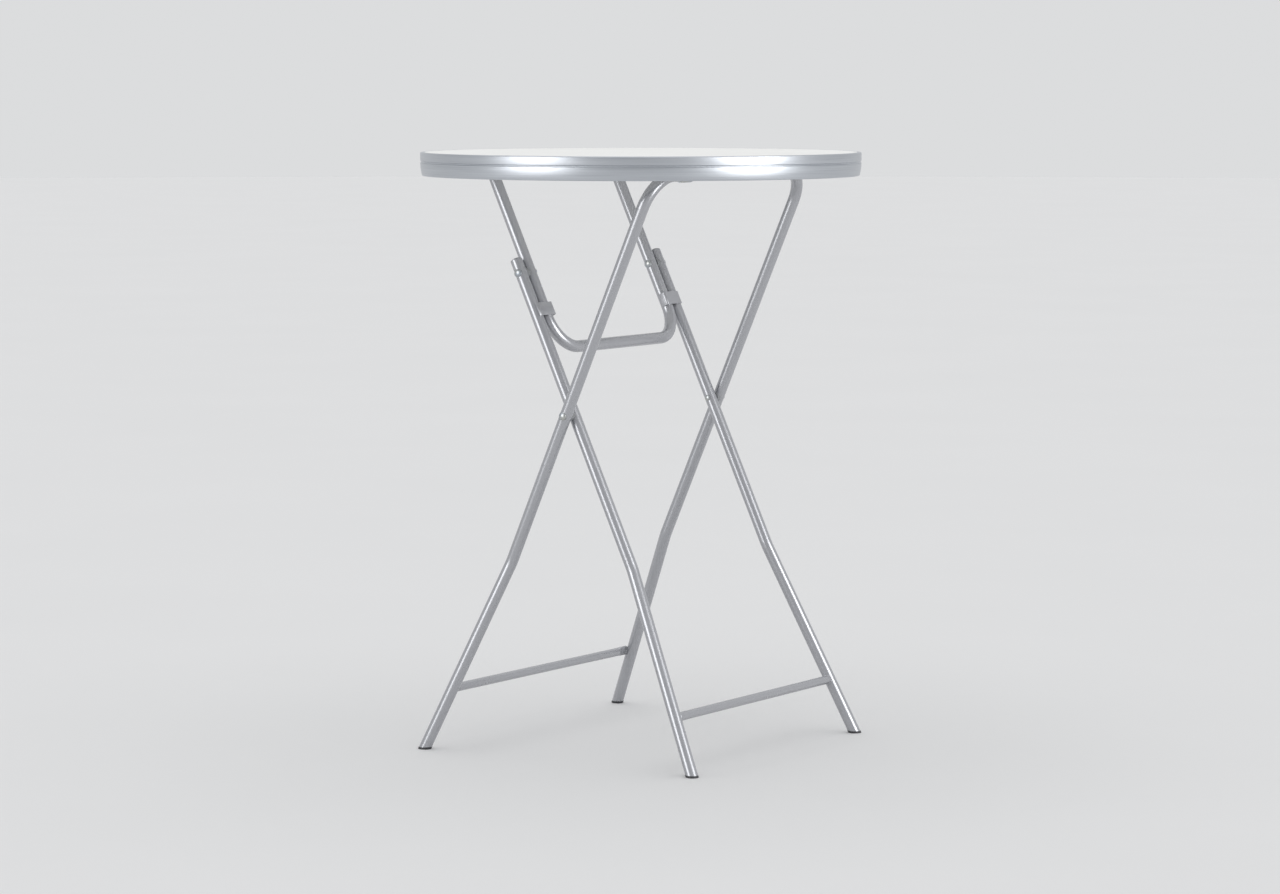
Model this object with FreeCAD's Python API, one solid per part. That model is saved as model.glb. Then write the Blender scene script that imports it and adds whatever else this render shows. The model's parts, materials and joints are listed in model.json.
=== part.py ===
import FreeCAD, Part
import math
import os

# Folding cocktail table at bar height, in millimetres.
# The origin is on the floor under the middle of the top, and +Z is up.
# The two leg frames cross in the XZ plane, and every hinge axis runs along Y.
# Left is the -Y side and right is the +Y side, as seen from +X.

V = FreeCAD.Vector

# Overall sizes
TABLE_HEIGHT = 1095.0
TOP_DIAMETER = 813.0

# Tabletop panel and the rim that wraps its edge
PANEL_THICKNESS = 16.0
RIM_HEIGHT = 43.0
RIM_WALL = 3.0
RIM_LIP_WIDTH = 8.0
RIM_LIP_THICKNESS = 2.5
RIM_CORNER = 2.5
RIM_TAPER = 3.0
GROOVE_DROP = 16.0
GROOVE_HEIGHT = 3.2
GROOVE_DEPTH = 1.5
LEDGE_WIDTH = 12.0
LEDGE_THICKNESS = 2.5

# Leg frames: where their centre lines meet the floor and the hinge axes
HINGE_DROP = 21.0
OUTER_HINGE_X = 199.5
BRACE_HINGE_X = -194.0
OUTER_FOOT_X = -269.0
INNER_FOOT_X = 299.0

# Steel tube, and the spacing of the three tube lanes on each side
TUBE_DIAMETER = 22.0
TUBE_WALL = 1.5
OUTER_HALF_WIDTH = 252.7
LEG_GAP = 5.0
BRACE_GAP = 7.0

# Bends: the legs splay outwards below a kink, and two frames turn a corner
KINK_HEIGHT = 352.0
KINK_RADIUS = 90.0
OUTER_SPLAY = 61.3
INNER_SPLAY = 53.9
CORNER_RADIUS = 62.0

# Crossbars between the legs
BAR_DIAMETER = 16.0
BAR_WALL = 1.2
INNER_BAR_HEIGHT = 100.0
OUTER_BAR_HEIGHT = 106.0

# Pressed ends of the outer crossbar, and where they seat on the back of the legs
BAR_END_HEIGHT = 20.0
BAR_END_DEPTH = 10.8
BAR_END_LENGTH = 18.0
BAR_END_RUN = 9.0
BAR_END_SEAT = 6.2
BAR_END_BITE = 0.6

# Brace: how far it runs past its two pivots, and the inner leg past its own
BRACE_REACH = 150.0
BRACE_END = 12.0
INNER_LEG_END = 26.0

# Feet and tube end caps
FOOT_BASE = 4.0
FOOT_OVERHANG = 0.3
FOOT_PLUG = 28.0
FOOT_EDGE = 0.8
CAP_DOME = 3.5
CAP_PLUG = 18.0

# Pivots, with their running clearances
PIVOT_DIAMETER = 8.0
PIVOT_HEAD_DIAMETER = 15.0
PIVOT_HEAD_HEIGHT = 2.4
PIVOT_TAIL_DIAMETER = 11.5
PIVOT_TAIL_HEIGHT = 1.6
SPACER_DIAMETER = 18.0
RUNNING_CLEARANCE = 0.05
SIDE_CLEARANCE = 0.3

# Hinge blocks and straps that hold the outer frame under the panel
BLOCK_Y = 155.0
BLOCK_WIDTH = 44.0
BLOCK_HALF_LENGTH = 27.0
BLOCK_DRAFT = 2.0
BLOCK_EDGE = 2.0
STRAP_WIDTH = 30.0
STRAP_THICKNESS = 2.0
STRAP_BEND = 1.5
HINGE_CLEARANCE = 0.08

# Brackets that hold the brace under the panel
BRACKET_HALF_LENGTH = 28.0
BRACKET_THICKNESS = 2.5
BRACKET_BEND = 2.0
BRACKET_CORNER = 6.0
BRACKET_SIDE_CLEARANCE = 0.6
EAR_HALF_LENGTH = 18.0
EAR_TIP_HALF_LENGTH = 12.0
EAR_CORNER = 10.8

# Wood screws
SCREW_DIAMETER = 4.5
SCREW_HEAD_DIAMETER = 9.0
SCREW_HEAD_HEIGHT = 2.6
SCREW_BITE = 12.0
SCREW_EDGE = 7.0
SCREW_CLEARANCE = 0.2

# Stop plates on the brace, which seat on the inner legs when the table stands open
STOP_LENGTH = 25.0
STOP_THICKNESS = 2.0
STOP_BELOW_PIVOT = 76.0
STOP_FLANGE = 15.5
STOP_BEND = 1.5
STOP_LIP = 2.0
STOP_LIP_TURN = 25.0

# Sizes that follow from the ones above
TOP_RADIUS = TOP_DIAMETER / 2
PANEL_UNDERSIDE = TABLE_HEIGHT - PANEL_THICKNESS
HINGE_HEIGHT = PANEL_UNDERSIDE - HINGE_DROP
TUBE_RADIUS = TUBE_DIAMETER / 2
BORE_RADIUS = TUBE_RADIUS - TUBE_WALL
BAR_RADIUS = BAR_DIAMETER / 2
PIVOT_RADIUS = PIVOT_DIAMETER / 2
INNER_HALF_WIDTH = OUTER_HALF_WIDTH - TUBE_DIAMETER - LEG_GAP
BRACE_HALF_WIDTH = INNER_HALF_WIDTH - TUBE_DIAMETER - BRACE_GAP
FAR = 2 * TABLE_HEIGHT
SIDES = {"left": -1, "right": 1}

UP = V(0, 0, 1)
SIDEWAYS = V(0, 1, 0)


def unit(vector):
    """Copy of the vector, one millimetre long."""
    return vector / vector.Length


def crossing(a, b, c, d):
    """Point of the XZ plane where the line through a and b meets the line through c and d."""
    p = b - a
    q = d - c
    share = ((c.x - a.x) * q.z - (c.z - a.z) * q.x) / (p.x * q.z - p.z * q.x)
    return a + p * share


# Points of the linkage in the XZ plane
OUTER_FOOT = V(OUTER_FOOT_X, 0, 0)
INNER_FOOT = V(INNER_FOOT_X, 0, 0)
OUTER_HINGE = V(OUTER_HINGE_X, 0, HINGE_HEIGHT)
BRACE_HINGE = V(BRACE_HINGE_X, 0, HINGE_HEIGHT)
CROSS_PIVOT = crossing(OUTER_FOOT, OUTER_HINGE, INNER_FOOT, BRACE_HINGE)
OUTER_UP = unit(OUTER_HINGE - OUTER_FOOT)
INNER_UP = unit(BRACE_HINGE - INNER_FOOT)
OUTER_BACK = V(-OUTER_UP.z, 0, OUTER_UP.x)
INNER_FRONT = V(INNER_UP.z, 0, -INNER_UP.x)

# The frame folds flat when cross pivot to outer hinge plus the brace's upper arm
# is as long as the inner leg's upper arm plus the span between the two hinges.
OUTER_ARM = (OUTER_HINGE - CROSS_PIVOT).Length
INNER_LINE = (BRACE_HINGE - CROSS_PIVOT).Length
HINGE_SPAN = (OUTER_HINGE - BRACE_HINGE).Length
INNER_ARM = (OUTER_ARM + INNER_LINE - HINGE_SPAN) / 2
BRACE_PIVOT = CROSS_PIVOT + INNER_UP * INNER_ARM


def at_side(point, y):
    """The linkage point, moved sideways to y."""
    return V(point.x, y, point.z)


def rounded_wire(points, radii, closed=False):
    """Wire through the points, turned with a tangent arc wherever a radius is given."""
    count = len(points)
    edges = []
    entry = []
    exit_ = []
    arcs = []
    for i, (point, radius) in enumerate(zip(points, radii)):
        if not radius:
            entry.append(point)
            exit_.append(point)
            arcs.append(None)
            continue
        back = unit(points[i - 1] - point)
        ahead = unit(points[(i + 1) % count] - point)
        half_angle = back.getAngle(ahead) / 2
        reach = radius / math.tan(half_angle)
        middle = point + unit(back + ahead) * (radius / math.sin(half_angle) - radius)
        entry.append(point + back * reach)
        exit_.append(point + ahead * reach)
        arcs.append(middle)
    for i in range(count):
        if arcs[i] is not None:
            edges.append(Part.Arc(entry[i], arcs[i], exit_[i]).toShape())
        if i + 1 < count or closed:
            edges.append(Part.LineSegment(exit_[i], entry[(i + 1) % count]).toShape())
    return Part.Wire(edges)


def plate(points, radii, thickness):
    """Solid made by pushing a rounded outline along the thickness vector."""
    return Part.Face(rounded_wire(points, radii, closed=True)).extrude(thickness)


def rod_along(points, radii, radius):
    """Solid round rod bent along the points."""
    path = rounded_wire(points, radii)
    circle = Part.makeCircle(radius, points[0], unit(points[1] - points[0]))
    return path.makePipe(Part.Face(Part.Wire(circle)))


def cross_rod(point, radius):
    """Solid rod along Y through a linkage point, right across the table."""
    return Part.makeCylinder(radius, FAR, at_side(point, -FAR / 2), SIDEWAYS)


def between(point, y_start, y_end, radius):
    """Solid rod along Y through a linkage point, from one y to another."""
    start = at_side(point, min(y_start, y_end))
    return Part.makeCylinder(radius, abs(y_end - y_start), start, SIDEWAYS)


def turned(points, centre_arc=None):
    """Solid of revolution round Z from (radius, height) points; an arc may close the outline."""
    corners = [V(radius, 0, height) for radius, height in points]
    edges = [Part.LineSegment(a, b).toShape() for a, b in zip(corners, corners[1:])]
    if centre_arc:
        middle = V(centre_arc[0], 0, centre_arc[1])
        edges.append(Part.Arc(corners[-1], middle, corners[0]).toShape())
    else:
        edges.append(Part.LineSegment(corners[-1], corners[0]).toShape())
    return Part.Face(Part.Wire(edges)).revolve(V(0, 0, 0), UP, 360)


def domed(radius, height, skirt):
    """Round head standing on z 0: a shallow dome above and a straight skirt below."""
    sphere = (radius**2 + height**2) / (2 * height)
    half_turn = math.asin(radius / sphere) / 2
    middle = (sphere * math.sin(half_turn), height - sphere * (1 - math.cos(half_turn)))
    foot_points = [(0, -skirt), (radius, -skirt)] if skirt else [(0, 0)]
    return turned([(0, height)] + foot_points + [(radius, 0)], middle)


def placed(shape, point, direction):
    """The shape with its Z axis turned to the direction and its origin moved to the point."""
    moved = shape.copy()
    moved.Placement = FreeCAD.Placement(point, FreeCAD.Rotation(UP, direction))
    return moved


def screw_up(x, y, seat, length):
    """Pan-head screw driven upwards, with its head under the seat height."""
    head = domed(SCREW_HEAD_DIAMETER / 2, SCREW_HEAD_HEIGHT, 0)
    shank = Part.makeCylinder(SCREW_DIAMETER / 2, length, V(x, y, seat))
    return placed(head, V(x, y, seat), -UP).fuse(shank).removeSplitter()


def screw_hole(x, y, clearance):
    """Straight hole for one screw, right through everything at that place."""
    return Part.makeCylinder(SCREW_DIAMETER / 2 + clearance, FAR, V(x, y, 0))


def edge_rim():
    """Rolled rim: a top lip over the panel's rebate, a groove, and a lower band that draws in."""
    top = TABLE_HEIGHT
    bottom = TABLE_HEIGHT - RIM_HEIGHT
    groove_top = top - GROOVE_DROP
    groove_bottom = groove_top - GROOVE_HEIGHT
    band_start = min(groove_bottom, PANEL_UNDERSIDE)
    inner = TOP_RADIUS - RIM_WALL
    middle = TOP_RADIUS - RIM_WALL / 2
    drop = band_start - (bottom + RIM_WALL / 2)
    bend = (drop**2 + RIM_TAPER**2) / (2 * RIM_TAPER)
    sweep = math.asin(drop / bend)

    def on_band(offset, share):
        """Point of the lower band at an offset from its middle line and a share of its sweep."""
        angle = sweep * share
        radius = bend + offset
        return V(middle - bend + radius * math.cos(angle), 0, band_start - radius * math.sin(angle))

    half = RIM_WALL / 2
    tip_centre = on_band(0, 1)
    tip = tip_centre - V(math.sin(sweep), 0, math.cos(sweep)) * half
    shoulder = V(TOP_RADIUS - RIM_CORNER, 0, top - RIM_CORNER)
    corner_middle = shoulder + unit(V(1, 0, 1)) * RIM_CORNER
    band_top = V(TOP_RADIUS, 0, top - RIM_CORNER)
    groove = [V(TOP_RADIUS, 0, groove_top),
              V(TOP_RADIUS - GROOVE_DEPTH, 0, (groove_top + groove_bottom) / 2),
              V(TOP_RADIUS, 0, groove_bottom)]
    inside = [on_band(-half, 0),
              V(inner, 0, top - RIM_LIP_THICKNESS),
              V(TOP_RADIUS - RIM_LIP_WIDTH, 0, top - RIM_LIP_THICKNESS),
              V(TOP_RADIUS - RIM_LIP_WIDTH, 0, top),
              V(TOP_RADIUS - RIM_CORNER, 0, top)]
    edges = [Part.Arc(inside[-1], corner_middle, band_top).toShape(),
             Part.LineSegment(band_top, groove[0]).toShape(),
             Part.Arc(*groove).toShape()]
    if band_start < groove_bottom:
        edges.append(Part.LineSegment(groove[-1], on_band(half, 0)).toShape())
    edges.append(Part.Arc(on_band(half, 0), on_band(half, 0.5), on_band(half, 1)).toShape())
    edges.append(Part.Arc(on_band(half, 1), tip, on_band(-half, 1)).toShape())
    edges.append(Part.Arc(on_band(-half, 1), on_band(-half, 0.5), inside[0]).toShape())
    edges += [Part.LineSegment(a, b).toShape() for a, b in zip(inside, inside[1:])]
    band = Part.Face(Part.Wire(edges)).revolve(V(0, 0, 0), UP, 360)
    ledge_top = PANEL_UNDERSIDE
    ledge_bottom = PANEL_UNDERSIDE - LEDGE_THICKNESS
    ledge = turned([(inner - LEDGE_WIDTH, ledge_bottom), (middle, ledge_bottom),
                    (middle, ledge_top), (inner - LEDGE_WIDTH, ledge_top)])
    return band.fuse(ledge).removeSplitter()


def tabletop_panel(holes):
    """Round board with a rebated top edge that takes the rim's lip, and pilot holes underneath."""
    rebate = TABLE_HEIGHT - RIM_LIP_THICKNESS
    board = turned([(0, PANEL_UNDERSIDE), (TOP_RADIUS - RIM_WALL, PANEL_UNDERSIDE),
                    (TOP_RADIUS - RIM_WALL, rebate), (TOP_RADIUS - RIM_LIP_WIDTH, rebate),
                    (TOP_RADIUS - RIM_LIP_WIDTH, TABLE_HEIGHT), (0, TABLE_HEIGHT)])
    pilots = [Part.makeCylinder(SCREW_DIAMETER / 2, SCREW_BITE, V(x, y, PANEL_UNDERSIDE))
              for x, y in holes]
    return board.cut(Part.makeCompound(pilots))


def hinge_screw_places(side):
    """The two screws of one hinge block, either side of the tube."""
    reach = BLOCK_HALF_LENGTH - SCREW_EDGE
    return [(OUTER_HINGE.x + reach * end, side * BLOCK_Y) for end in (-1, 1)]


def hinge_block(side):
    """Moulded half bearing that seats the outer frame's top tube against the panel."""
    low = BLOCK_HALF_LENGTH
    high = BLOCK_HALF_LENGTH + BLOCK_DRAFT
    y = side * BLOCK_Y - BLOCK_WIDTH / 2
    outline = [V(OUTER_HINGE.x - low, y, HINGE_HEIGHT), V(OUTER_HINGE.x + low, y, HINGE_HEIGHT),
               V(OUTER_HINGE.x + high, y, PANEL_UNDERSIDE), V(OUTER_HINGE.x - high, y, PANEL_UNDERSIDE)]
    block = plate(outline, [0, 0, 0, 0], SIDEWAYS * BLOCK_WIDTH)
    uprights = [e for e in block.Edges if e.BoundBox.ZLength > HINGE_DROP / 2]
    block = block.makeFillet(BLOCK_EDGE, uprights)
    block = block.cut(cross_rod(OUTER_HINGE, TUBE_RADIUS + HINGE_CLEARANCE))
    for x, hole_y in hinge_screw_places(side):
        block = block.cut(screw_hole(x, hole_y, SCREW_CLEARANCE))
    return block


def hinge_strap(side):
    """Pressed strap round the underside of the top tube, with two ears on the block."""
    seat = TUBE_RADIUS + HINGE_CLEARANCE
    y = side * BLOCK_Y - STRAP_WIDTH / 2
    ears = Part.makeBox(2 * BLOCK_HALF_LENGTH, STRAP_WIDTH, STRAP_THICKNESS,
                        V(OUTER_HINGE.x - BLOCK_HALF_LENGTH, y, HINGE_HEIGHT - STRAP_THICKNESS))
    corners = [e for e in ears.Edges if e.BoundBox.ZLength > STRAP_THICKNESS / 2]
    ears = ears.makeFillet(SCREW_EDGE, corners)
    hoop = Part.makeCylinder(seat + STRAP_THICKNESS, STRAP_WIDTH, V(OUTER_HINGE.x, y, HINGE_HEIGHT), SIDEWAYS)
    lower_half = Part.makeBox(FAR, FAR, FAR, V(-FAR / 2, -FAR / 2, HINGE_HEIGHT - FAR))
    strap = ears.fuse(hoop.common(lower_half)).cut(cross_rod(OUTER_HINGE, seat)).removeSplitter()
    bends = [e for e in strap.Edges if e.BoundBox.YLength > STRAP_WIDTH - SCREW_EDGE
             and abs(e.CenterOfMass.x - OUTER_HINGE.x) < seat + 2 * STRAP_THICKNESS]
    strap = strap.makeFillet(STRAP_BEND, bends)
    for x, hole_y in hinge_screw_places(side):
        strap = strap.cut(screw_hole(x, hole_y, SCREW_CLEARANCE))
    return strap


def hinge_screws():
    """The screws that pull the straps and blocks up to the panel."""
    seat = HINGE_HEIGHT - STRAP_THICKNESS
    length = STRAP_THICKNESS + HINGE_DROP + SCREW_BITE
    return Part.makeCompound([screw_up(x, y, seat, length)
                              for side in SIDES.values() for x, y in hinge_screw_places(side)])


def bracket_screw_places(side):
    """The two screws of one brace bracket, between its ears."""
    reach = BRACKET_HALF_LENGTH - SCREW_EDGE
    return [(BRACE_HINGE.x + reach * end, side * BRACE_HALF_WIDTH) for end in (-1, 1)]


def ear_faces(side):
    """Inner and outer faces of the two bracket ears, as y places from the table's middle outwards."""
    inside = TUBE_RADIUS + BRACKET_SIDE_CLEARANCE
    outside = inside + BRACKET_THICKNESS
    return [side * (BRACE_HALF_WIDTH + step) for step in (-outside, -inside, inside, outside)]


def brace_bracket(side):
    """Folded channel under the panel, with two rounded ears for the brace's hinge pin."""
    faces = sorted(ear_faces(side))
    roof = PANEL_UNDERSIDE - BRACKET_THICKNESS
    tip = HINGE_HEIGHT - EAR_TIP_HALF_LENGTH
    fold = BRACKET_BEND + BRACKET_THICKNESS
    section = [(faces[0], tip), (faces[0], PANEL_UNDERSIDE), (faces[3], PANEL_UNDERSIDE), (faces[3], tip),
               (faces[2], tip), (faces[2], roof), (faces[1], roof), (faces[1], tip)]
    channel = plate([V(BRACE_HINGE.x - EAR_HALF_LENGTH, y, z) for y, z in section],
                    [0, fold, fold, 0, 0, BRACKET_BEND, BRACKET_BEND, 0], V(2 * EAR_HALF_LENGTH, 0, 0))
    outline = [V(-EAR_HALF_LENGTH, faces[0], PANEL_UNDERSIDE), V(EAR_HALF_LENGTH, faces[0], PANEL_UNDERSIDE),
               V(EAR_TIP_HALF_LENGTH, faces[0], tip), V(-EAR_TIP_HALF_LENGTH, faces[0], tip)]
    ears = plate([p + V(BRACE_HINGE.x, 0, 0) for p in outline],
                 [0, 0, EAR_CORNER, EAR_CORNER], SIDEWAYS * (faces[3] - faces[0]))
    base_start = faces[1] + BRACKET_BEND
    base = Part.makeBox(2 * BRACKET_HALF_LENGTH, faces[2] - BRACKET_BEND - base_start, BRACKET_THICKNESS,
                        V(BRACE_HINGE.x - BRACKET_HALF_LENGTH, base_start, roof))
    corners = [e for e in base.Edges if e.BoundBox.ZLength > BRACKET_THICKNESS / 2]
    base = base.makeFillet(BRACKET_CORNER, corners)
    bracket = channel.common(ears).fuse(base).removeSplitter().cut(cross_rod(BRACE_HINGE, PIVOT_RADIUS))
    for x, y in bracket_screw_places(side):
        bracket = bracket.cut(screw_hole(x, y, SCREW_CLEARANCE))
    return bracket


def bracket_screws():
    """The screws that hold the brace brackets to the panel."""
    seat = PANEL_UNDERSIDE - BRACKET_THICKNESS
    length = BRACKET_THICKNESS + SCREW_BITE
    return Part.makeCompound([screw_up(x, y, seat, length)
                              for side in SIDES.values() for x, y in bracket_screw_places(side)])


def brace_pin(side):
    """Hinge pin through both bracket ears and the brace tube, headed at each end."""
    faces = ear_faces(side)
    head = domed(PIVOT_HEAD_DIAMETER / 2, PIVOT_HEAD_HEIGHT, 0)
    pin = between(BRACE_HINGE, faces[0], faces[3], PIVOT_RADIUS)
    for y in (min(faces), max(faces)):
        outward = SIDEWAYS if y == max(faces) else -SIDEWAYS
        pin = pin.fuse(placed(head, at_side(BRACE_HINGE, y), outward))
    return pin.removeSplitter()


def splayed(foot, direction, half_width, splay):
    """Foot and kink of one leg on the +Y side, with the foot's line carried on below the floor."""
    kink = at_side(foot + direction * (KINK_HEIGHT / direction.z), half_width)
    floor = at_side(foot, half_width + splay)
    downwards = unit(floor - kink)
    return floor + downwards * TUBE_DIAMETER, kink


def mirrored(point):
    """The same point on the other side of the table."""
    return V(point.x, -point.y, point.z)


def outer_frame_rod(radius):
    """Inverted U of the outer legs as a solid rod, not yet cut level at the floor."""
    foot, kink = splayed(OUTER_FOOT, OUTER_UP, OUTER_HALF_WIDTH, OUTER_SPLAY)
    corner = at_side(OUTER_HINGE, OUTER_HALF_WIDTH)
    half = [foot, kink, corner]
    points = half + [mirrored(p) for p in reversed(half)]
    bends = [0, KINK_RADIUS, CORNER_RADIUS]
    return rod_along(points, bends + bends[::-1], radius)


def inner_leg_rod(side, radius):
    """One inner leg as a solid rod, not yet cut level at the floor."""
    foot, kink = splayed(INNER_FOOT, INNER_UP, INNER_HALF_WIDTH, INNER_SPLAY)
    tip = at_side(BRACE_PIVOT + INNER_UP * INNER_LEG_END, INNER_HALF_WIDTH)
    points = [foot, kink, tip]
    if side < 0:
        points = [mirrored(p) for p in points]
    return rod_along(points, [0, KINK_RADIUS, 0], radius)


def brace_rod(radius):
    """U of the brace as a solid rod: two arms down from the hinge and a bar between them."""
    end = at_side(BRACE_HINGE + INNER_UP * BRACE_END, BRACE_HALF_WIDTH)
    corner = at_side(BRACE_PIVOT - INNER_UP * BRACE_REACH, BRACE_HALF_WIDTH)
    points = [end, corner, mirrored(corner), mirrored(end)]
    return rod_along(points, [0, CORNER_RADIUS, CORNER_RADIUS, 0], radius)


def below_feet():
    """Everything lower than the top of the feet, to cut the leg tubes level."""
    return Part.makeBox(FAR, FAR, FAR, V(-FAR / 2, -FAR / 2, FOOT_BASE - FAR))


def outer_leg_tube():
    """Outer frame: one bent tube, drilled for the cross pivot."""
    tube = outer_frame_rod(TUBE_RADIUS).cut(outer_frame_rod(BORE_RADIUS))
    return tube.cut(below_feet()).cut(cross_rod(CROSS_PIVOT, PIVOT_RADIUS))


def inner_leg(side):
    """Inner leg tube, running on the cross rivet and drilled for the brace rivet."""
    tube = inner_leg_rod(side, TUBE_RADIUS).cut(inner_leg_rod(side, BORE_RADIUS))
    tube = tube.cut(below_feet()).cut(cross_rod(CROSS_PIVOT, PIVOT_RADIUS + RUNNING_CLEARANCE))
    return tube.cut(cross_rod(BRACE_PIVOT, PIVOT_RADIUS))


def brace_tube():
    """Brace tube, running on its hinge pins and drilled for the rivets."""
    tube = brace_rod(TUBE_RADIUS).cut(brace_rod(BORE_RADIUS))
    tube = tube.cut(cross_rod(BRACE_HINGE, PIVOT_RADIUS + RUNNING_CLEARANCE))
    return tube.cut(cross_rod(BRACE_PIVOT, PIVOT_RADIUS))


def hollow_bar(point, half_length):
    """Round tube along Y through a linkage point."""
    bar = between(point, -half_length, half_length, BAR_RADIUS)
    return bar.cut(between(point, -half_length, half_length, BAR_RADIUS - BAR_WALL))


def half_width_at(height, half_width, splay):
    """Half spacing of a pair of legs at a height below their kink."""
    return half_width + splay * (1 - height / KINK_HEIGHT)


def pressed_bar(point, half_length, radius, end_height, end_depth):
    """Solid rod along Y that is round in the middle and pressed to an oval at both ends."""
    oval_start = half_length - BAR_END_LENGTH
    round_end = oval_start - BAR_END_RUN
    long_axis_up_leg = FreeCAD.Rotation(OUTER_UP, V(0, 0, 0), SIDEWAYS, "ZXY")
    circle = Part.Circle(V(0, 0, 0), UP, radius)
    oval = Part.Ellipse(V(0, 0, 0), end_height / 2, end_depth / 2)
    rod = between(point, -round_end, round_end, radius)
    for side in SIDES.values():
        outlines = []
        for curve, y in ((circle, round_end), (oval, oval_start), (oval, half_length)):
            outline = Part.Wire(curve.toShape())
            outline.Placement = FreeCAD.Placement(at_side(point, side * y), long_axis_up_leg)
            outlines.append(outline)
        rod = rod.fuse(Part.makeLoft(outlines, True, True))
    return rod.removeSplitter()


def outer_crossbar():
    """Tube welded across the back of the outer legs, clear of the folding inner legs."""
    setback = BAR_END_SEAT + BAR_END_DEPTH / 2
    point = OUTER_FOOT + OUTER_UP * (OUTER_BAR_HEIGHT / OUTER_UP.z) + OUTER_BACK * setback
    leg_side = math.sqrt(TUBE_RADIUS**2 - BAR_END_SEAT**2)
    reach = half_width_at(OUTER_BAR_HEIGHT, OUTER_HALF_WIDTH, OUTER_SPLAY) - leg_side + BAR_END_BITE
    walls = 2 * BAR_WALL
    bar = pressed_bar(point, reach, BAR_RADIUS, BAR_END_HEIGHT, BAR_END_DEPTH)
    bore = pressed_bar(point, reach, BAR_RADIUS - BAR_WALL, BAR_END_HEIGHT - walls, BAR_END_DEPTH - walls)
    return bar.cut(bore).cut(outer_frame_rod(TUBE_RADIUS))


def inner_crossbar():
    """Bar welded between the inner legs, its ends shaped to the tubes."""
    point = INNER_FOOT + INNER_UP * (INNER_BAR_HEIGHT / INNER_UP.z)
    reach = half_width_at(INNER_BAR_HEIGHT, INNER_HALF_WIDTH, INNER_SPLAY)
    bar = hollow_bar(point, reach)
    for side in SIDES.values():
        bar = bar.cut(inner_leg_rod(side, TUBE_RADIUS))
    return bar


def foot(side, foot_point, direction, half_width, splay):
    """Plastic glide: a plug inside the tube end and a level base under it."""
    below_floor, kink = splayed(foot_point, direction, half_width, splay)
    if side < 0:
        below_floor = mirrored(below_floor)
        kink = mirrored(kink)
    up = unit(kink - below_floor)
    length = (kink - below_floor).Length
    base = Part.makeCylinder(TUBE_RADIUS + FOOT_OVERHANG, length, below_floor, up)
    base = base.common(Part.makeBox(FAR, FAR, FOOT_BASE, V(-FAR / 2, -FAR / 2, 0)))
    base = base.makeFillet(FOOT_EDGE, [e for e in base.Edges if e.BoundBox.ZMax < FOOT_EDGE / 10])
    plug_top = TUBE_DIAMETER + FOOT_BASE / up.z + FOOT_PLUG
    plug = Part.makeCylinder(BORE_RADIUS, plug_top, below_floor, up).cut(below_feet())
    return base.fuse(plug).removeSplitter()


def inner_end_cap(side):
    """Domed plastic cap pushed into the upper end of an inner leg."""
    dome = domed(TUBE_RADIUS, CAP_DOME, 0)
    plug = Part.makeCylinder(BORE_RADIUS, CAP_PLUG, V(0, 0, -CAP_PLUG))
    end = at_side(BRACE_PIVOT + INNER_UP * INNER_LEG_END, side * INNER_HALF_WIDTH)
    cap = placed(dome.fuse(plug), end, INNER_UP)
    return cap.cut(cross_rod(BRACE_PIVOT, PIVOT_RADIUS)).removeSplitter()


def saddle_head(point, y_axis, outward, rod):
    """Rivet head on the side of a round tube, its skirt shaped to the tube."""
    seat = at_side(point, y_axis + outward * TUBE_RADIUS)
    head = domed(PIVOT_HEAD_DIAMETER / 2, PIVOT_HEAD_HEIGHT, TUBE_RADIUS)
    return placed(head, seat, SIDEWAYS * outward).cut(rod)


def cross_rivet(side):
    """Main pivot: fixed in the outer leg, with the inner leg turning on it."""
    outside = side * OUTER_HALF_WIDTH
    head = saddle_head(CROSS_PIVOT, outside, side, outer_frame_rod(TUBE_RADIUS))
    inner_face = side * (INNER_HALF_WIDTH - TUBE_RADIUS - SIDE_CLEARANCE)
    tail = placed(domed(PIVOT_TAIL_DIAMETER / 2, PIVOT_TAIL_HEIGHT, 0),
                  at_side(CROSS_PIVOT, inner_face), SIDEWAYS * -side)
    shank = between(CROSS_PIVOT, inner_face, outside + side * TUBE_RADIUS, PIVOT_RADIUS)
    return head.fuse(shank).fuse(tail).removeSplitter()


def cross_spacer(side):
    """Saddle washer on the outer leg that keeps the inner leg off it."""
    start = side * (INNER_HALF_WIDTH + TUBE_RADIUS + SIDE_CLEARANCE)
    washer = between(CROSS_PIVOT, start, side * OUTER_HALF_WIDTH, SPACER_DIAMETER / 2)
    return washer.cut(outer_frame_rod(TUBE_RADIUS)).cut(cross_rod(CROSS_PIVOT, PIVOT_RADIUS))


def brace_rivet(side):
    """Inner leg's share of the brace pivot: head, shank and a tail that stops at the washer."""
    outside = side * INNER_HALF_WIDTH
    head = saddle_head(BRACE_PIVOT, outside, side, inner_leg_rod(side, TUBE_RADIUS))
    tail = side * (BRACE_HALF_WIDTH + TUBE_RADIUS + SIDE_CLEARANCE)
    shank = between(BRACE_PIVOT, tail, outside + side * TUBE_RADIUS, PIVOT_RADIUS)
    return head.fuse(shank).removeSplitter()


def brace_spacer(side):
    """Saddle washer on the inner leg that keeps the brace off it."""
    start = side * (BRACE_HALF_WIDTH + TUBE_RADIUS + SIDE_CLEARANCE)
    washer = between(BRACE_PIVOT, start, side * INNER_HALF_WIDTH, SPACER_DIAMETER / 2)
    return washer.cut(inner_leg_rod(side, TUBE_RADIUS)).cut(cross_rod(BRACE_PIVOT, PIVOT_RADIUS))


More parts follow.
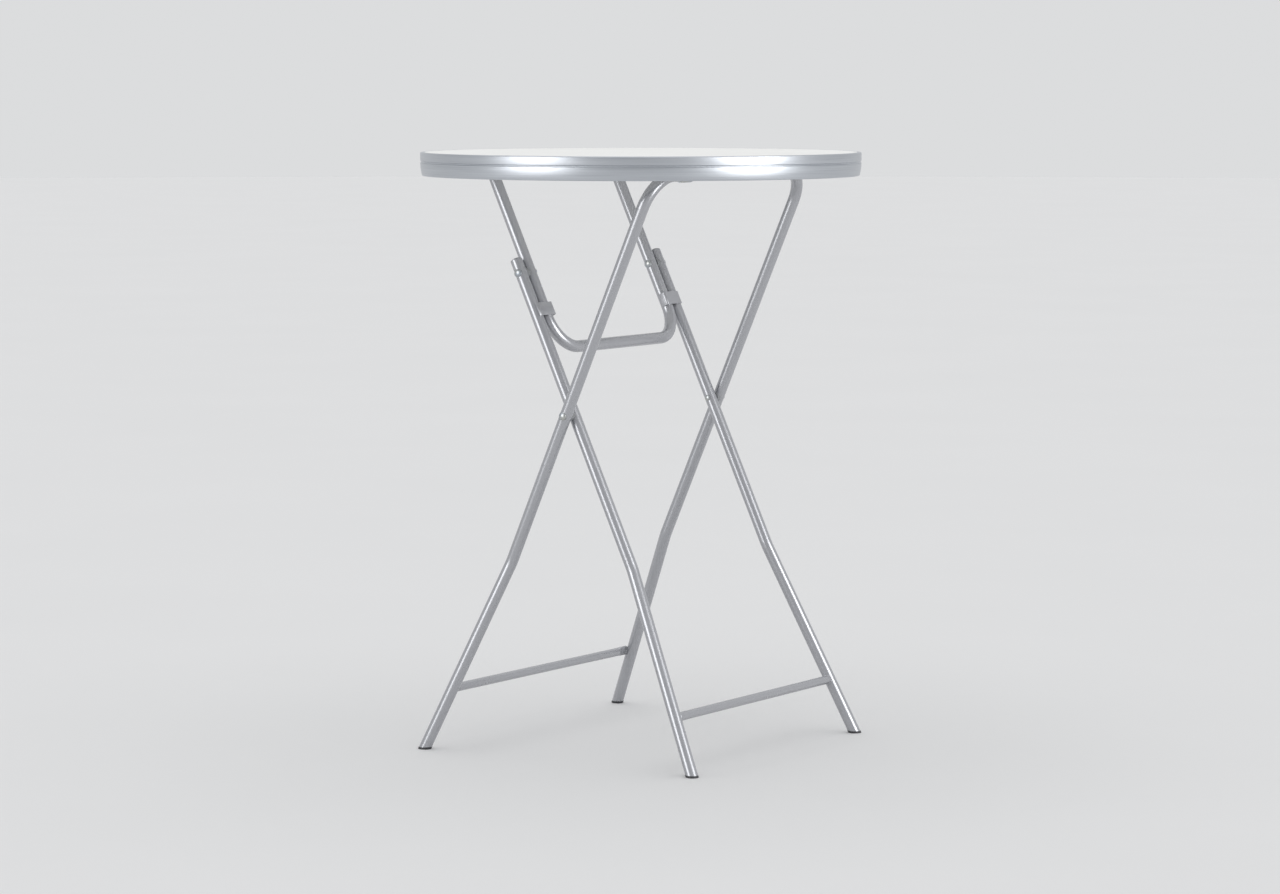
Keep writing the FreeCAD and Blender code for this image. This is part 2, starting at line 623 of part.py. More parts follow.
def brace_rivet_head(side):
    """Brace's share of the brace pivot: the inside head and the shank through the tube."""
    inside = side * BRACE_HALF_WIDTH
    head = saddle_head(BRACE_PIVOT, inside, -side, brace_rod(TUBE_RADIUS))
    shank = between(BRACE_PIVOT, inside - side * TUBE_RADIUS, inside + side * TUBE_RADIUS, PIVOT_RADIUS)
    return head.fuse(shank).removeSplitter()


def brace_stop(side):
    """Stop plate: a flange welded inside the brace, a web over both tubes and a lip curled on the leg."""
    web_inside = TUBE_RADIUS + SIDE_CLEARANCE
    web_outside = web_inside + STOP_THICKNESS
    flange_inside = BRACE_HALF_WIDTH - TUBE_RADIUS
    flange_outside = flange_inside - STOP_THICKNESS
    flange_end = web_outside - STOP_FLANGE
    turn = math.radians(STOP_LIP_TURN)

    def lip(radius):
        """Corner before the curl and the lip's end, for one face of the plate round the leg."""
        corner = (INNER_HALF_WIDTH + radius * math.tan(turn / 2), radius)
        end = (INNER_HALF_WIDTH + radius * math.sin(turn) + STOP_LIP * math.cos(turn),
               radius * math.cos(turn) - STOP_LIP * math.sin(turn))
        return [corner, end]

    outline = [(flange_outside, flange_end), (flange_outside, web_outside)] + lip(web_outside)
    outline += lip(web_inside)[::-1] + [(flange_inside, web_inside), (flange_inside, flange_end)]
    radii = [0, STOP_BEND + STOP_THICKNESS, web_outside, 0, 0, web_inside, STOP_BEND, 0]
    start = BRACE_PIVOT - INNER_UP * (STOP_BELOW_PIVOT + STOP_LENGTH / 2)
    points = [at_side(start + INNER_FRONT * lift, side * y) for y, lift in outline]
    return plate(points, radii, INNER_UP * STOP_LENGTH)


def all_nodes():
    """Every named piece of the table."""
    holes = []
    for side in SIDES.values():
        holes += hinge_screw_places(side) + bracket_screw_places(side)
    nodes = {
        "tabletop_panel": tabletop_panel(holes),
        "edge_rim": edge_rim(),
        "hinge_screws": hinge_screws(),
        "bracket_screws": bracket_screws(),
        "outer_leg_tube": outer_leg_tube(),
        "outer_crossbar": outer_crossbar(),
        "inner_crossbar": inner_crossbar(),
        "brace_tube": brace_tube(),
    }
    for name, side in SIDES.items():
        nodes["hinge_block_" + name] = hinge_block(side)
        nodes["hinge_strap_" + name] = hinge_strap(side)
        nodes["brace_bracket_" + name] = brace_bracket(side)
        nodes["brace_pin_" + name] = brace_pin(side)
        nodes["outer_foot_" + name] = foot(side, OUTER_FOOT, OUTER_UP, OUTER_HALF_WIDTH, OUTER_SPLAY)
        nodes["inner_foot_" + name] = foot(side, INNER_FOOT, INNER_UP, INNER_HALF_WIDTH, INNER_SPLAY)
        nodes["inner_leg_" + name] = inner_leg(side)
        nodes["inner_end_cap_" + name] = inner_end_cap(side)
        nodes["cross_rivet_" + name] = cross_rivet(side)
        nodes["cross_spacer_" + name] = cross_spacer(side)
        nodes["brace_rivet_" + name] = brace_rivet(side)
        nodes["brace_spacer_" + name] = brace_spacer(side)
        nodes["brace_rivet_head_" + name] = brace_rivet_head(side)
        nodes["brace_stop_" + name] = brace_stop(side)
    return nodes


os.makedirs("parts", exist_ok=True)
for node_name, shape in all_nodes().items():
    shape.exportStep("parts/" + node_name + ".step")
    print(node_name, len(shape.Solids), "solids", round(shape.Volume), "mm3", shape.isValid())
print("cross pivot", CROSS_PIVOT, "brace pivot", BRACE_PIVOT)
print("outer hinge", OUTER_HINGE, "brace hinge", BRACE_HINGE)
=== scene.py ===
import json
import math

import bmesh
import bpy
from mathutils import Matrix, Vector


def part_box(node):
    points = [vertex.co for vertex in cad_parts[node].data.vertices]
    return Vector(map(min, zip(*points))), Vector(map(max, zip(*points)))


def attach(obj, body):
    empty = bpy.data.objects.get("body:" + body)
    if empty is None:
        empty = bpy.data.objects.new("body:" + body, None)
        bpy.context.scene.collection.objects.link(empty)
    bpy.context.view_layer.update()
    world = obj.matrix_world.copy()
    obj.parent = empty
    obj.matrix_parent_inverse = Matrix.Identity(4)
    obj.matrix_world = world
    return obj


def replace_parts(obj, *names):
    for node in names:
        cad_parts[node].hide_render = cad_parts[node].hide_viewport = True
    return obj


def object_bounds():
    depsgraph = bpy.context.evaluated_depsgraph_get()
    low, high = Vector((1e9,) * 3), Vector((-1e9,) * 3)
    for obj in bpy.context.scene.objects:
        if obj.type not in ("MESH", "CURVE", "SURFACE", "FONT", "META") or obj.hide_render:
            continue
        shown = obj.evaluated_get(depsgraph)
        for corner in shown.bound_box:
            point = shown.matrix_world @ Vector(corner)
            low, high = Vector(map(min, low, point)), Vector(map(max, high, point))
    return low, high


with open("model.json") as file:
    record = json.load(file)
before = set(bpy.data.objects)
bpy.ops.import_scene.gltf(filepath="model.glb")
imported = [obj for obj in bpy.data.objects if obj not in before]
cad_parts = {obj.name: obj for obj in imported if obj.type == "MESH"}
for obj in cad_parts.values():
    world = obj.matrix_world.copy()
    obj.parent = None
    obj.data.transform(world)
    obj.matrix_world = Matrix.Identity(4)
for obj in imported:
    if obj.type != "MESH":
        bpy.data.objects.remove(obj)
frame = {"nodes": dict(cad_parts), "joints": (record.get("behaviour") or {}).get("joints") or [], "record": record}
cad_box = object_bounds()

MM = 0.001
SIDES = {"left": -1, "right": 1}

# The photograph's camera, fitted to the table in the row frame
CAMERA_PLACE = Vector((3.948, -5.834, 1.235))
CAMERA_YAW = math.radians(124.10)
CAMERA_PITCH = math.radians(-5.57)
PHOTO_WIDTH_PX = 1280
PHOTO_FOCAL_PX = 3808.6
SENSOR_WIDTH_MM = 36.0
VIEW_LIMIT = 200.0

# Studio floor and lights, in metres and watts, with the ceiling in watts per square metre.
# A softbox's turn is its angle from the camera, round the table.
FLOOR_RADIUS = 40.0
FLOOR_SIDES = 96
SOFTBOXES = {
    "left_softbox": {"turn": math.radians(-54), "power": 14.5},
    "right_softbox": {"turn": math.radians(57), "power": 25.0},
}
SOFTBOX_DISTANCE = 4.0
SOFTBOX_HEIGHT = 1.35
SOFTBOX_WIDTH = 2.2
SOFTBOX_TALL = 2.6
SOFTBOX_SPREAD = math.radians(90)
CEILING_STRENGTH = 0.95
CEILING_ANGLE = math.radians(90)

# Legs: a pair runs parallel down to a kink, and splays outwards below it
TUBE_RADIUS = 11.0 * MM
KINK_HEIGHT = 352.0 * MM

# Welded seams between the crossbars and the legs.
# The outer bar's ends are pressed oval and lie behind the legs; the inner bar's ends butt against the legs.
# A seam's reach is the half angle round the bar that its weld covers.
OUTER_SEAM = {"bar_half_height": 10.0 * MM, "bar_half_depth": 5.4 * MM, "setback": 11.6 * MM,
              "leg_half_width": 252.7 * MM, "leg_splay": 61.3 * MM, "reach": math.radians(55)}
INNER_SEAM = {"bar_half_height": 8.0 * MM, "bar_half_depth": 8.0 * MM, "setback": 0.0,
              "leg_half_width": 225.7 * MM, "leg_splay": 53.9 * MM, "reach": math.pi}

# Weld beads. Swell is a ripple's share of the bead's thickness, and tail what is left of it at an open end.
BEAD_RADIUS = 1.6 * MM
BEAD_SIDES = 10
BEAD_RIPPLE = 2.6 * MM
STEPS_PER_RIPPLE = 5
BEAD_SWELL = 0.07
BEAD_TAIL = 0.3

# Rim, spun finely from its own section
RIM_STEPS = 480

# Corners of rolled, pressed, headed and moulded pieces
RIM_EDGE = 0.4 * MM
PRESSED_EDGE = 0.35 * MM
HEADED_EDGE = 0.2 * MM
MOULDED_EDGE = 0.6 * MM
EDGE_SEGMENTS = 3
EASED_PAIRS = {
    "brace_stop": PRESSED_EDGE,
    "brace_bracket": PRESSED_EDGE,
    "hinge_strap": PRESSED_EDGE,
    "hinge_block": MOULDED_EDGE,
    "brace_pin": HEADED_EDGE,
    "cross_rivet": HEADED_EDGE,
    "brace_rivet": HEADED_EDGE,
    "brace_rivet_head": HEADED_EDGE,
    "inner_end_cap": HEADED_EDGE,
}

# How near points and faces count as one, and the turn past which an edge stays crisp
SAME_PLACE = 0.01 * MM
FLAT_ANGLE = math.radians(0.05)
SHARP_ANGLE = math.radians(40)

# Screws under the top
SCREW_HEAD_RADIUS = 4.5 * MM
SCREW_HEAD_HEIGHT = 2.6 * MM
SCREW_DOME = 0.9
SCREW_SHANK_RADIUS = 2.25 * MM
SCREW_SHANK_SIDES = 24

# Cross recess in the head: the head's grid, and the cross's half width and reach in cells of that grid
RECESS_CELLS = 15
RECESS_HALF_WIDTH = 1.5
RECESS_ARM = 4.5
RECESS_DEPTH = 1.5 * MM
RECESS_TAPER = 0.75


def linear(code):
    """Linear colour of an sRGB hex code."""
    channels = [int(code[i:i + 2], 16) / 255 for i in (1, 3, 5)]
    return [c / 12.92 if c <= 0.04045 else ((c + 0.055) / 1.055) ** 2.4 for c in channels] + [1.0]


def add(tree, kind, inputs=None, **settings):
    """Adds a node with its settings. An input is a value, or another node's output to link."""
    node = tree.nodes.new(kind)
    for name, value in settings.items():
        setattr(node, name, value)
    for name, value in (inputs or {}).items():
        if isinstance(value, bpy.types.NodeSocket):
            tree.links.new(value, node.inputs[name])
        else:
            node.inputs[name].default_value = value
    return node


def blank_material(name):
    """New node material with nothing in it yet."""
    material = bpy.data.materials.new(name)
    material.use_nodes = True
    material.node_tree.nodes.clear()
    return material, material.node_tree


def per(size):
    """Pattern scale at which one feature is that size."""
    return 1.0 / size


def silver_powder_coat():
    """Silver-grey polyester powder coat, sprayed and baked on steel tube.

    It gives a semi-gloss skin with a faint orange peel and a sparse metal flake.
    """
    material, tree = blank_material("silver_powder_coat")
    place = add(tree, "ShaderNodeTexCoord").outputs["Object"]
    # Flake is about 0.1 mm on a real tube and drawn at 1.4 mm, so that it shows
    flake = add(tree, "ShaderNodeTexVoronoi", {"Vector": place, "Scale": per(1.4 * MM)})
    flake_tone = add(tree, "ShaderNodeValToRGB", {"Fac": flake.outputs["Color"]})
    flake_tone.color_ramp.elements[0].color = linear("#A9AAAE")
    flake_tone.color_ramp.elements[1].color = linear("#AFB0B4")
    cloud = add(tree, "ShaderNodeTexNoise", {"Vector": place, "Scale": per(60 * MM), "Detail": 4.0})
    gloss = add(tree, "ShaderNodeMapRange", {
        "Value": cloud.outputs["Fac"], "To Min": 0.25, "To Max": 0.29})
    peel = add(tree, "ShaderNodeTexNoise", {"Vector": place, "Scale": per(2.5 * MM), "Detail": 2.0})
    bump = add(tree, "ShaderNodeBump", {
        "Height": peel.outputs["Fac"], "Strength": 0.06, "Distance": 0.2 * MM})
    coat = add(tree, "ShaderNodeBsdfPrincipled", {
        "Base Color": flake_tone.outputs["Color"], "Metallic": 0.65, "Roughness": gloss.outputs["Result"],
        "Normal": bump.outputs["Normal"]})
    add(tree, "ShaderNodeOutputMaterial", {"Surface": coat.outputs["BSDF"]})
    return material


def rolled_aluminium():
    """Satin aluminium strip, rolled to its profile and bent round the board.

    Rolling leaves fine lines along the strip, which spread each highlight upwards.
    """
    material, tree = blank_material("rolled_aluminium")
    place = add(tree, "ShaderNodeTexCoord").outputs["Object"]
    # Rolling lines run round the rim, long across and short in height, three to half a metre.
    # They are about 0.2 mm high on a real strip and drawn at 1.2 mm, so that they show.
    line_length = 500 * MM / 3
    along = add(tree, "ShaderNodeMapping", {
        "Vector": place, "Scale": (per(line_length), per(line_length), per(1.2 * MM))})
    lines = add(tree, "ShaderNodeTexNoise", {"Vector": along.outputs["Vector"], "Scale": 1.0, "Detail": 5.0})
    tone = add(tree, "ShaderNodeValToRGB", {"Fac": lines.outputs["Fac"]})
    tone.color_ramp.elements[0].position = 0.3
    tone.color_ramp.elements[0].color = linear("#B5B9BF")
    tone.color_ramp.elements[1].position = 0.7
    tone.color_ramp.elements[1].color = linear("#C4C8CD")
    gloss = add(tree, "ShaderNodeMapRange", {
        "Value": lines.outputs["Fac"], "To Min": 0.28, "To Max": 0.40})
    bump = add(tree, "ShaderNodeBump", {
        "Height": lines.outputs["Fac"], "Strength": 0.05, "Distance": 0.1 * MM})
    strip = add(tree, "ShaderNodeBsdfPrincipled", {
        "Base Color": tone.outputs["Color"], "Metallic": 1.0, "Roughness": gloss.outputs["Result"],
        "Normal": bump.outputs["Normal"]})
    add(tree, "ShaderNodeOutputMaterial", {"Surface": strip.outputs["BSDF"]})
    return material


def white_laminate():
    """White melamine laminate, pressed on a board.

    The press plate leaves a fine pebble that keeps its sheen soft.
    """
    material, tree = blank_material("white_laminate")
    place = add(tree, "ShaderNodeTexCoord").outputs["Object"]
    cloud = add(tree, "ShaderNodeTexNoise", {"Vector": place, "Scale": per(150 * MM), "Detail": 3.0})
    tone = add(tree, "ShaderNodeValToRGB", {"Fac": cloud.outputs["Fac"]})
    tone.color_ramp.elements[0].color = linear("#EDEDEA")
    tone.color_ramp.elements[1].color = linear("#F2F2F0")
    gloss = add(tree, "ShaderNodeMapRange", {
        "Value": cloud.outputs["Fac"], "To Min": 0.36, "To Max": 0.46})
    # The pebble is about 0.4 mm on a real board and drawn at 1 mm, so that it shows
    pebble = add(tree, "ShaderNodeTexNoise", {"Vector": place, "Scale": per(1.0 * MM), "Detail": 2.0})
    bump = add(tree, "ShaderNodeBump", {
        "Height": pebble.outputs["Fac"], "Strength": 0.05, "Distance": 0.1 * MM})
    sheet = add(tree, "ShaderNodeBsdfPrincipled", {
        "Base Color": tone.outputs["Color"], "Roughness": gloss.outputs["Result"], "IOR": 1.5,
        "Normal": bump.outputs["Normal"]})
    add(tree, "ShaderNodeOutputMaterial", {"Surface": sheet.outputs["BSDF"]})
    return material


def moulded_plastic(name, dark, light, roughness):
    """Polypropylene or nylon, injection moulded in a spark-eroded tool that leaves an even matt grain."""
    material, tree = blank_material(name)
    place = add(tree, "ShaderNodeTexCoord").outputs["Object"]
    scuff = add(tree, "ShaderNodeTexNoise", {"Vector": place, "Scale": per(9 * MM), "Detail": 4.0})
    tone = add(tree, "ShaderNodeValToRGB", {"Fac": scuff.outputs["Fac"]})
    tone.color_ramp.elements[0].color = linear(dark)
    tone.color_ramp.elements[1].color = linear(light)
    # Spark grain is about 0.15 mm on a real moulding and drawn at 0.6 mm, so that it shows up close
    grain = add(tree, "ShaderNodeTexNoise", {"Vector": place, "Scale": per(0.6 * MM), "Detail": 2.0})
    gloss = add(tree, "ShaderNodeMapRange", {
        "Value": scuff.outputs["Fac"], "To Min": roughness - 0.06, "To Max": roughness + 0.06})
    bump = add(tree, "ShaderNodeBump", {
        "Height": grain.outputs["Fac"], "Strength": 0.15, "Distance": 0.1 * MM})
    skin = add(tree, "ShaderNodeBsdfPrincipled", {
        "Base Color": tone.outputs["Color"], "Roughness": gloss.outputs["Result"], "IOR": 1.5,
        "Normal": bump.outputs["Normal"]})
    add(tree, "ShaderNodeOutputMaterial", {"Surface": skin.outputs["BSDF"]})
    return material


def zinc_plate():
    """Clear-passivated zinc, barrel plated on pressed and headed steel.

    The passivation drifts from bluish to faintly yellow, and tumbling in the barrel dulls it in fine nicks.
    """
    material, tree = blank_material("zinc_plated_steel")
    place = add(tree, "ShaderNodeTexCoord").outputs["Object"]
    drift = add(tree, "ShaderNodeTexNoise", {"Vector": place, "Scale": per(14 * MM), "Detail": 3.0})
    tone = add(tree, "ShaderNodeValToRGB", {"Fac": drift.outputs["Fac"]})
    tone.color_ramp.elements[0].position = 0.3
    tone.color_ramp.elements[0].color = linear("#A9AFB6")
    tone.color_ramp.elements[1].position = 0.7
    tone.color_ramp.elements[1].color = linear("#B9BAB5")
    nicks = add(tree, "ShaderNodeTexNoise", {"Vector": place, "Scale": per(1.5 * MM), "Detail": 4.0})
    gloss = add(tree, "ShaderNodeMapRange", {
        "Value": nicks.outputs["Fac"], "To Min": 0.24, "To Max": 0.42})
    bump = add(tree, "ShaderNodeBump", {
        "Height": nicks.outputs["Fac"], "Strength": 0.08, "Distance": 0.1 * MM})
    plate = add(tree, "ShaderNodeBsdfPrincipled", {
        "Base Color": tone.outputs["Color"], "Metallic": 1.0, "Roughness": gloss.outputs["Result"],
        "Normal": bump.outputs["Normal"]})
    add(tree, "ShaderNodeOutputMaterial", {"Surface": plate.outputs["BSDF"]})
    return material


def studio_floor_paint():
    """Pale matt floor paint, rolled on, which gives an even ground without glare."""
    material, tree = blank_material("studio_floor_paint")
    place = add(tree, "ShaderNodeTexCoord").outputs["Object"]
    cloud = add(tree, "ShaderNodeTexNoise", {"Vector": place, "Scale": per(800 * MM), "Detail": 3.0})
    tone = add(tree, "ShaderNodeValToRGB", {"Fac": cloud.outputs["Fac"]})
    tone.color_ramp.elements[0].color = linear("#E6E6E6")
    tone.color_ramp.elements[1].color = linear("#E9E9E9")
    paint = add(tree, "ShaderNodeBsdfPrincipled", {"Base Color": tone.outputs["Color"], "Roughness": 0.85})
    add(tree, "ShaderNodeOutputMaterial", {"Surface": paint.outputs["BSDF"]})
    return material


# Finish of each material slot, and the slot and body of each CAD piece
finishes = {
    "white_laminate": white_laminate(),
    "satin_aluminium": rolled_aluminium(),
    "silver_paint": silver_powder_coat(),
    "dark_plastic": moulded_plastic("dark_polypropylene", "#2C2D30", "#38393C", 0.55),
    "grey_plastic": moulded_plastic("grey_nylon", "#77797B", "#858789", 0.45),
    "zinc_steel": zinc_plate(),
}
slot_of = {subpart["node"]: subpart["material_slot"] for subpart in frame["record"]["subparts"]}
body_of = {node: body for body, nodes in frame["record"]["behaviour"]["bodies"].items() for node in nodes}
for node_name, slot_name in slot_of.items():
    node_mesh = frame["nodes"][node_name].data
    node_mesh.materials.clear()
    node_mesh.materials.append(finishes[slot_name])


def finish_piece(name, shape, body, slot):
    """Turns a bmesh into a shaded piece that rides on a body and takes a finish of the record."""
    for face in shape.faces:
        face.smooth = True
    mesh = bpy.data.meshes.new(name)
    shape.to_mesh(mesh)
    shape.free()
    mesh.set_sharp_from_angle(angle=SHARP_ANGLE)
    mesh.materials.append(finishes[slot])
    piece = bpy.data.objects.new(name, mesh)
    bpy.context.scene.collection.objects.link(piece)
    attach(piece, body)
    return piece


def stand_in(node, ending, shape):
    """Finishes a shape that takes the place of a CAD piece, on its body and in its finish."""
    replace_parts(finish_piece(node + ending, shape, body_of[node], slot_of[node]), node)


def weld_bead(name, bar, side, up, seam):
    """Rippled fillet weld round a crossbar's end, along its seam with the leg.

    side is -1 or 1 along Y, and up is the leg's direction in the XZ plane.
    """
    corner, far_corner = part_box(bar)
    middle = (corner + far_corner) / 2
    front = Vector((up.z, 0, -up.x))
    slope = seam["leg_splay"] / KINK_HEIGHT
    leg_spacing = seam["leg_half_width"] + seam["leg_splay"] - slope * middle.z
    radius = seam["bar_half_height"]
    reach = seam["reach"]
    closed = reach >= math.pi

    # A plain ring, or a stretch of one, in the XZ plane
    shape = bmesh.new()
    section = bmesh.ops.create_circle(
        shape, segments=BEAD_SIDES, radius=BEAD_RADIUS,
        matrix=Matrix.Rotation(reach, 4, "Y") @ Matrix.Translation((radius, 0, 0)))
    steps = round(2 * reach * radius / (BEAD_RIPPLE / STEPS_PER_RIPPLE))
    bmesh.ops.spin(shape, geom=section["verts"] + shape.edges[:], cent=(0, 0, 0), axis=(0, -1, 0),
                   angle=2 * reach, steps=steps, use_merge=closed)
    if not closed:
        bmesh.ops.holes_fill(shape, edges=[e for e in shape.edges if e.is_boundary])

    # The ring gets its ripples and is laid along the seam, where the bar's section meets the leg's side
    ripples = round(math.tau * radius / BEAD_RIPPLE)
    for vert in shape.verts:
        angle = math.atan2(vert.co.z, vert.co.x)
        on_ring = Vector((math.cos(angle), 0, math.sin(angle))) * radius
        swell = 1 + BEAD_SWELL * math.cos(angle * ripples)
        if not closed:
            swell *= BEAD_TAIL + (1 - BEAD_TAIL) * math.cos(angle / reach * math.pi / 2)
        bead = (vert.co - on_ring) * swell
        depth = math.cos(angle) * seam["bar_half_depth"]
        height = math.sin(angle) * seam["bar_half_height"]
        leg_side = math.sqrt(max(TUBE_RADIUS**2 - (depth - seam["setback"])**2, 0))
        seam_y = min(leg_spacing - slope * up.z * height - leg_side, far_corner.y)
        outwards = Vector((0, side * seam_y + bead.y, 0))
        vert.co = middle + front * (depth + bead.x) + up * (height + bead.z) + outwards
    bmesh.ops.recalc_face_normals(shape, faces=shape.faces)
    finish_piece(name, shape, body_of[bar], slot_of[bar])


def merged_copy(node):
    """A CAD piece's mesh as a bmesh, with the loose triangles joined. They point the right way already."""
    shape = bmesh.new()
    shape.from_mesh(frame["nodes"][node].data)
    bmesh.ops.remove_doubles(shape, verts=shape.verts, dist=SAME_PLACE)
    return shape


def ease_edges(shape, width):
    """Rounds every outside corner of the shape a little, so that it catches light."""
    corners = [e for e in shape.edges if e.is_manifold and e.calc_face_angle_signed() > SHARP_ANGLE]
    bmesh.ops.bevel(shape, geom=corners, affect="EDGES", offset=width, segments=EDGE_SEGMENTS,
                    profile=0.5, material=-1)


def spun_rim(node):
    """The rim's own section, spun in fine steps so that its groove and highlights run round unbroken."""
    shape = merged_copy(node)
    off_section = [v for v in shape.verts if v.co.x < 0 or abs(v.co.y) > SAME_PLACE]
    bmesh.ops.delete(shape, geom=off_section, context="VERTS")
    bmesh.ops.spin(shape, geom=shape.verts[:] + shape.edges[:], cent=(0, 0, 0), axis=(0, 0, 1),
                   angle=math.tau, steps=RIM_STEPS, use_merge=True)
    bmesh.ops.recalc_face_normals(shape, faces=shape.faces)
    ease_edges(shape, RIM_EDGE)
    stand_in(node, "_spun", shape)


def eased(node, width):
    """A pressed, headed or moulded CAD piece with its corners eased, as tumbling or the mould leaves them."""
    shape = merged_copy(node)
    bmesh.ops.dissolve_limit(shape, angle_limit=FLAT_ANGLE, verts=shape.verts, edges=shape.edges)
    ease_edges(shape, width)
    stand_in(node, "_eased", shape)


def new_verts(result):
    """The vertices that a bmesh operator made."""
    return [item for item in result["geom"] if isinstance(item, bmesh.types.BMVert)]


def recessed_head(shape):
    """Adds a pan head that hangs down from z 0, with a cross recess sunk into it."""
    head = bmesh.ops.create_grid(shape, x_segments=RECESS_CELLS, y_segments=RECESS_CELLS, size=1.0)["verts"]
    cell = 2.0 / RECESS_CELLS
    cross = []
    for face in shape.faces:
        across, along = sorted(abs(c) for c in face.calc_center_median().xy)
        if across < RECESS_HALF_WIDTH * cell and along < RECESS_ARM * cell:
            cross.append(face)

    # The square grid is drawn in to a disc and domed
    for vert in head:
        flat = vert.co.xy
        if flat.length:
            flat = flat * (max(abs(flat.x), abs(flat.y)) / flat.length)
        dome = math.sqrt(max(1 - SCREW_DOME * flat.length_squared, 0))
        flat = flat * SCREW_HEAD_RADIUS
        vert.co = Vector((flat.x, flat.y, -dome * SCREW_HEAD_HEIGHT))

    # A skirt runs up to the seat, and the underside closes it
    brim = [e for e in shape.edges if e.is_boundary]
    for vert in new_verts(bmesh.ops.extrude_edge_only(shape, edges=brim)):
        vert.co.z = 0
    bmesh.ops.holes_fill(shape, edges=[e for e in shape.edges if e.is_boundary])

    # The cross is sunk, and narrows as it goes in
    for vert in new_verts(bmesh.ops.extrude_face_region(shape, geom=cross)):
        vert.co = Vector((vert.co.x * RECESS_TAPER, vert.co.y * RECESS_TAPER, vert.co.z + RECESS_DEPTH))
    bmesh.ops.delete(shape, geom=[f for f in cross if f.is_valid], context="FACES_ONLY")


def cross_recess_screws(node):
    """Four pan-head screws with a cross recess, driven upwards where the record's plain ones sit."""
    corner, far_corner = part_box(node)
    seat = corner.z + SCREW_HEAD_HEIGHT
    length = far_corner.z - seat
    shape = bmesh.new()
    recessed_head(shape)
    bmesh.ops.create_cone(shape, cap_ends=True, segments=SCREW_SHANK_SIDES, radius1=SCREW_SHANK_RADIUS,
                          radius2=SCREW_SHANK_RADIUS, depth=length,
                          matrix=Matrix.Translation((0, 0, length / 2)))
    screw = shape.verts[:] + shape.edges[:] + shape.faces[:]
    for x in (corner.x + SCREW_HEAD_RADIUS, far_corner.x - SCREW_HEAD_RADIUS):
        for y in (corner.y + SCREW_HEAD_RADIUS, far_corner.y - SCREW_HEAD_RADIUS):
            placed = new_verts(bmesh.ops.duplicate(shape, geom=screw))
            bmesh.ops.translate(shape, verts=placed, vec=(x, y, seat))
    bmesh.ops.delete(shape, geom=screw, context="VERTS")
    bmesh.ops.recalc_face_normals(shape, faces=shape.faces)
    stand_in(node, "_recessed", shape)


def floor():
    """Plain pale floor, wide enough for every view."""
    shape = bmesh.new()
    bmesh.ops.create_circle(shape, cap_ends=True, segments=FLOOR_SIDES, radius=FLOOR_RADIUS)
    mesh = bpy.data.meshes.new("floor")
    shape.to_mesh(mesh)
    shape.free()
    mesh.materials.append(studio_floor_paint())
    plane = bpy.data.objects.new("floor", mesh)
    bpy.context.scene.collection.objects.link(plane)
    return plane


def softbox(name, turn, power, lit):
    """Area lamp at an angle from the camera's side of the table, aimed at the middle of the table.

    lit is the collection that says what the lamp reaches.
    """
    middle = (cad_box[0] + cad_box[1]) / 2
    heading = CAMERA_YAW + math.pi + turn
    place = Vector((math.cos(heading) * SOFTBOX_DISTANCE, math.sin(heading) * SOFTBOX_DISTANCE,
                    SOFTBOX_HEIGHT))
    lamp = bpy.data.lights.new(name, "AREA")
    lamp.shape = "RECTANGLE"
    lamp.size = SOFTBOX_WIDTH
    lamp.size_y = SOFTBOX_TALL
    lamp.energy = power
    lamp.spread = SOFTBOX_SPREAD
    holder = bpy.data.objects.new(name, lamp)
    holder.location = place
    holder.rotation_euler = (middle - place).to_track_quat("-Z", "Y").to_euler()
    holder.visible_camera = False
    holder.light_linking.receiver_collection = lit
    bpy.context.scene.collection.objects.link(holder)


def room_light():
    """Soft room light, paler from the back wall than from behind the camera."""
    room = bpy.data.worlds.new("room")
    room.use_nodes = True
    tree = room.node_tree
    tree.nodes.clear()
    towards_camera = (-math.cos(CAMERA_YAW), -math.sin(CAMERA_YAW), 0.0)
    direction = add(tree, "ShaderNodeTexCoord").outputs["Generated"]
    facing = add(tree, "ShaderNodeVectorMath", {0: direction, 1: towards_camera}, operation="DOT_PRODUCT")
    share = add(tree, "ShaderNodeMapRange", {
        "Value": facing.outputs["Value"], "From Min": -1.0, "From Max": 1.0})
    tone = add(tree, "ShaderNodeValToRGB", {"Fac": share.outputs["Result"]})
    tone.color_ramp.elements[0].color = linear("#DCDDDE")
    tone.color_ramp.elements[1].color = linear("#B8B9BB")
    light = add(tree, "ShaderNodeBackground", {"Color": tone.outputs["Color"]})
    add(tree, "ShaderNodeOutputWorld", {"Surface": light.outputs["Background"]})
    bpy.context.scene.world = room


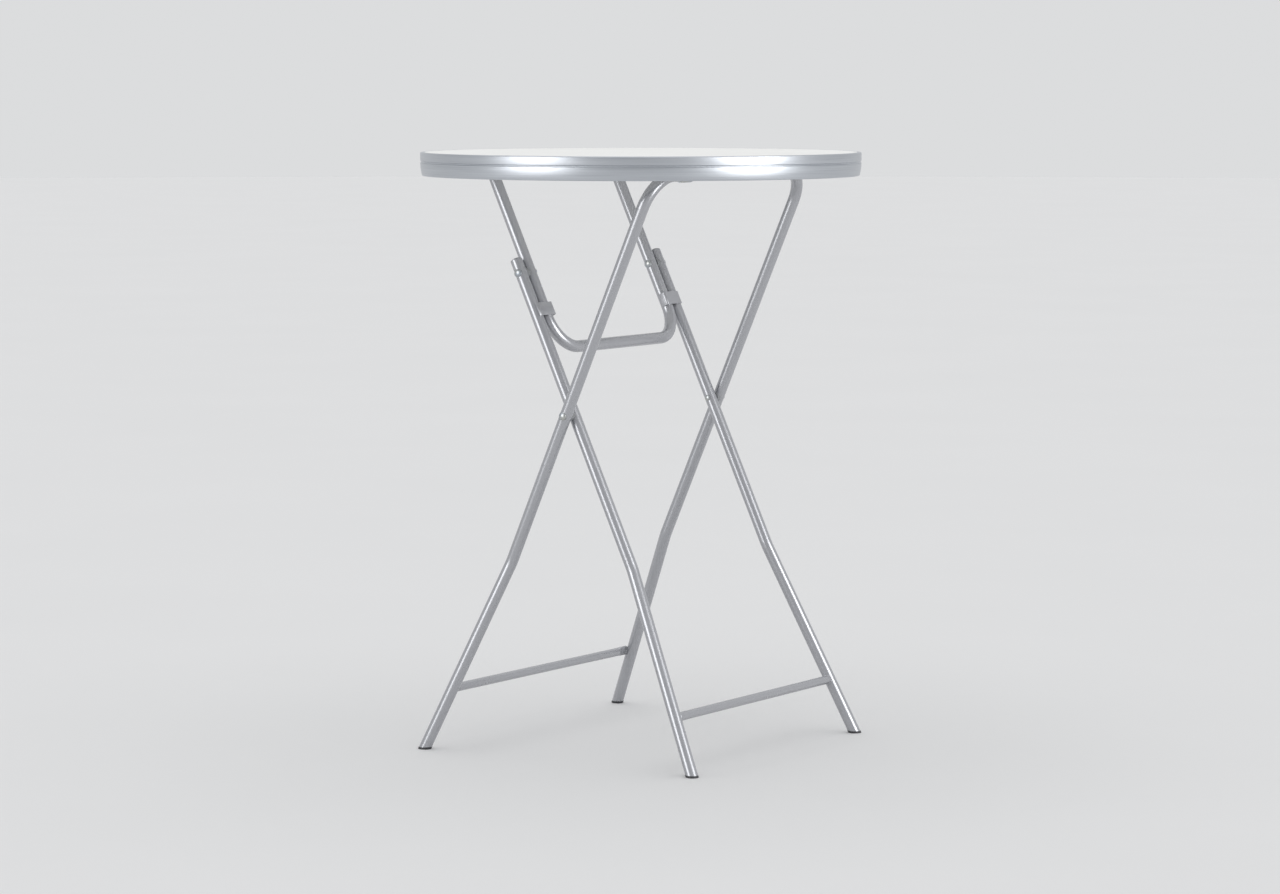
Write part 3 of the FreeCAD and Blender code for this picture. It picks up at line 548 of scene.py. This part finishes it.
def studio():
    """Floor, soft light from the ceiling, a room, and a softbox each side of the camera."""
    # The softboxes are flagged off the floor, so that it stays evenly lit in every view
    all_but_floor = bpy.data.collections.new("all_but_floor")
    all_but_floor.objects.link(floor())
    all_but_floor.collection_objects[0].light_linking.link_state = "EXCLUDE"
    for name, box in SOFTBOXES.items():
        softbox(name, box["turn"], box["power"], all_but_floor)
    ceiling = bpy.data.lights.new("ceiling_light", "SUN")
    ceiling.energy = CEILING_STRENGTH
    ceiling.angle = CEILING_ANGLE
    bpy.context.scene.collection.objects.link(bpy.data.objects.new("ceiling_light", ceiling))
    room_light()


def photo_camera():
    """Camera at the photograph's place and angle."""
    lens = bpy.data.cameras.new("photo_camera")
    lens.sensor_width = SENSOR_WIDTH_MM
    lens.lens = PHOTO_FOCAL_PX / PHOTO_WIDTH_PX * SENSOR_WIDTH_MM
    lens.clip_end = VIEW_LIMIT
    camera = bpy.data.objects.new("photo_camera", lens)
    heading = Vector((math.cos(CAMERA_YAW) * math.cos(CAMERA_PITCH),
                      math.sin(CAMERA_YAW) * math.cos(CAMERA_PITCH), math.sin(CAMERA_PITCH)))
    camera.location = CAMERA_PLACE
    camera.rotation_euler = heading.to_track_quat("-Z", "Y").to_euler()
    bpy.context.scene.collection.objects.link(camera)
    bpy.context.scene.camera = camera


pivots = {joint["name"]: Vector(joint["pos_m"]) for joint in frame["joints"]}
outer_up = (pivots["top_fold"] - pivots["leg_fold"]).normalized()
inner_up = (pivots["brace_fold"] - pivots["leg_fold"]).normalized()
for side_name, side_sign in SIDES.items():
    weld_bead("outer_weld_" + side_name, "outer_crossbar", side_sign, outer_up, OUTER_SEAM)
    weld_bead("inner_weld_" + side_name, "inner_crossbar", side_sign, inner_up, INNER_SEAM)
    for kind, edge in EASED_PAIRS.items():
        eased(kind + "_" + side_name, edge)
spun_rim("edge_rim")
cross_recess_screws("hinge_screws")
cross_recess_screws("bracket_screws")
studio()
photo_camera()
bpy.context.scene.view_settings.view_transform = "Standard"
